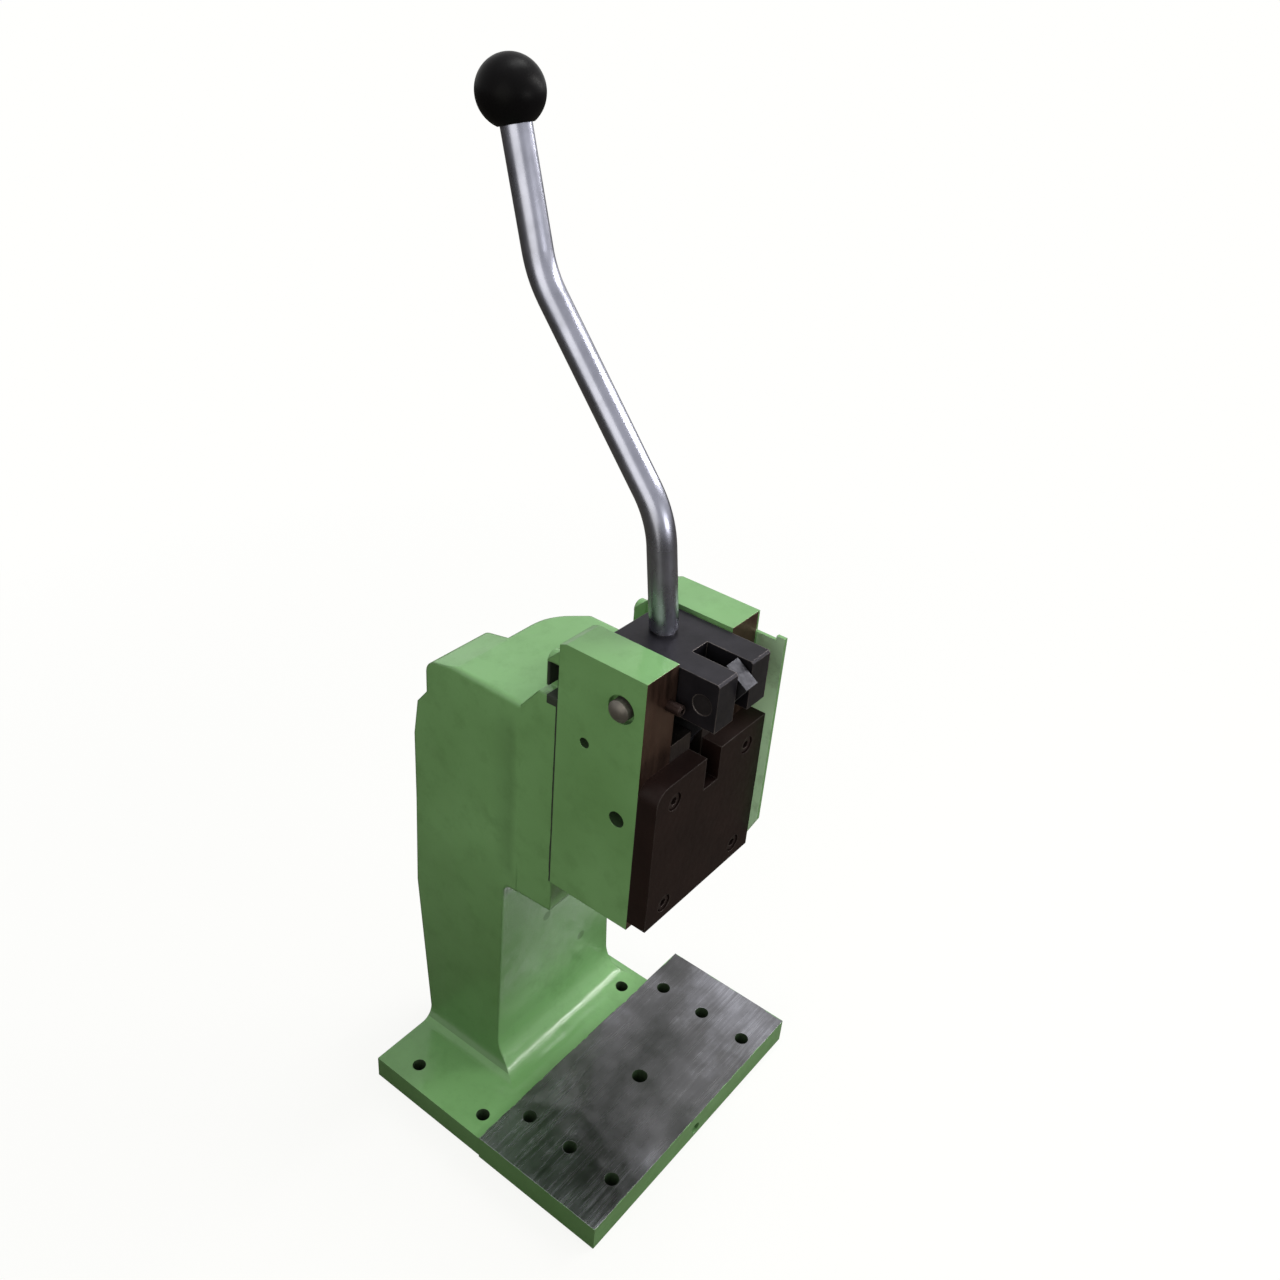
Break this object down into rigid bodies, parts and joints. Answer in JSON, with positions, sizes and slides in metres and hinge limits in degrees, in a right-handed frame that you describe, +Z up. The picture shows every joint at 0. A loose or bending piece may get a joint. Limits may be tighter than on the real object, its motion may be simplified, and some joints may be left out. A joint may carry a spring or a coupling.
{
  "type": "bench toggle press",
  "caption": "Bench toggle press: cast C-frame with drilled table, ram between bolted cheeks, and a fork lever with a bent handle that drives the ram through a short link.",
  "frame": {"origin": "on the ram axis, at the underside of the base, at the lower end of the table's middle hole", "axes": "+X to the press's right, +Y to the rear, +Z up along the ram; the operator stands on the -Y side"},
  "size_m": [0.262, 0.2555, 0.7921],
  "materials": {
    "green_paint": "gloss enamel; the table top is ground bare",
    "black_oxide": "blackened steel",
    "blued_steel": "blued steel with bright edges",
    "bright_steel": "ground steel",
    "chrome_plate": "polished",
    "black_plastic": "moulded phenolic"
  },
  "bodies": {
    "frame": {"frame_casting": "green_paint", "left_cheek": "green_paint", "right_cheek": "green_paint", "lower_cheek_bolts": "black_oxide", "upper_cheek_bolts": "black_oxide", "cheek_dowels": "bright_steel", "front_plate": "black_oxide", "front_plate_screws": "black_oxide", "side_plate": "green_paint", "side_plate_screws": "black_oxide", "pivot_pin": "bright_steel", "pivot_lock_screw": "black_oxide"},
    "anvil_screw": {"anvil_clamp_screw": "black_oxide"},
    "lever": {"lever_block": "blued_steel", "rod_set_screw": "black_oxide", "handle_rod": "chrome_plate", "knob": "black_plastic", "link_pin": "bright_steel"},
    "link": {"link": "bright_steel"},
    "ram": {"ram": "bright_steel", "ram_pin": "bright_steel"},
    "tool_screw": {"tool_clamp_screw": "black_oxide"}
  },
  "joints": [
    {"name": "lever_pivot", "type": "hinge", "parent": "frame", "child": "lever", "pos_m": [0, 0.003, 0.435], "axis": [1, 0, 0], "range_deg": [0, 60]},
    {"name": "link_pivot", "type": "hinge", "parent": "lever", "child": "link", "pos_m": [0, -0.0354, 0.4402], "axis": [1, 0, 0], "range_deg": [-75, 0]},
    {"name": "ram_slide", "type": "slide", "parent": "frame", "child": "ram", "axis": [0, 0, -1], "range_m": [0, 0.045]},
    {"name": "anvil_clamp", "type": "slide", "parent": "frame", "child": "anvil_screw", "axis": [0, 1, 0], "range_m": [0, 0.003]},
    {"name": "tool_clamp", "type": "slide", "parent": "ram", "child": "tool_screw", "axis": [0, 1, 0], "range_m": [0, 0.003]}
  ],
  "couplings": [
    {"joint": "link_pivot", "follows": "lever_pivot", "ratio": -1.236},
    {"joint": "ram_slide", "follows": "lever_pivot", "m_per_rad": 0.0422}
  ]
}
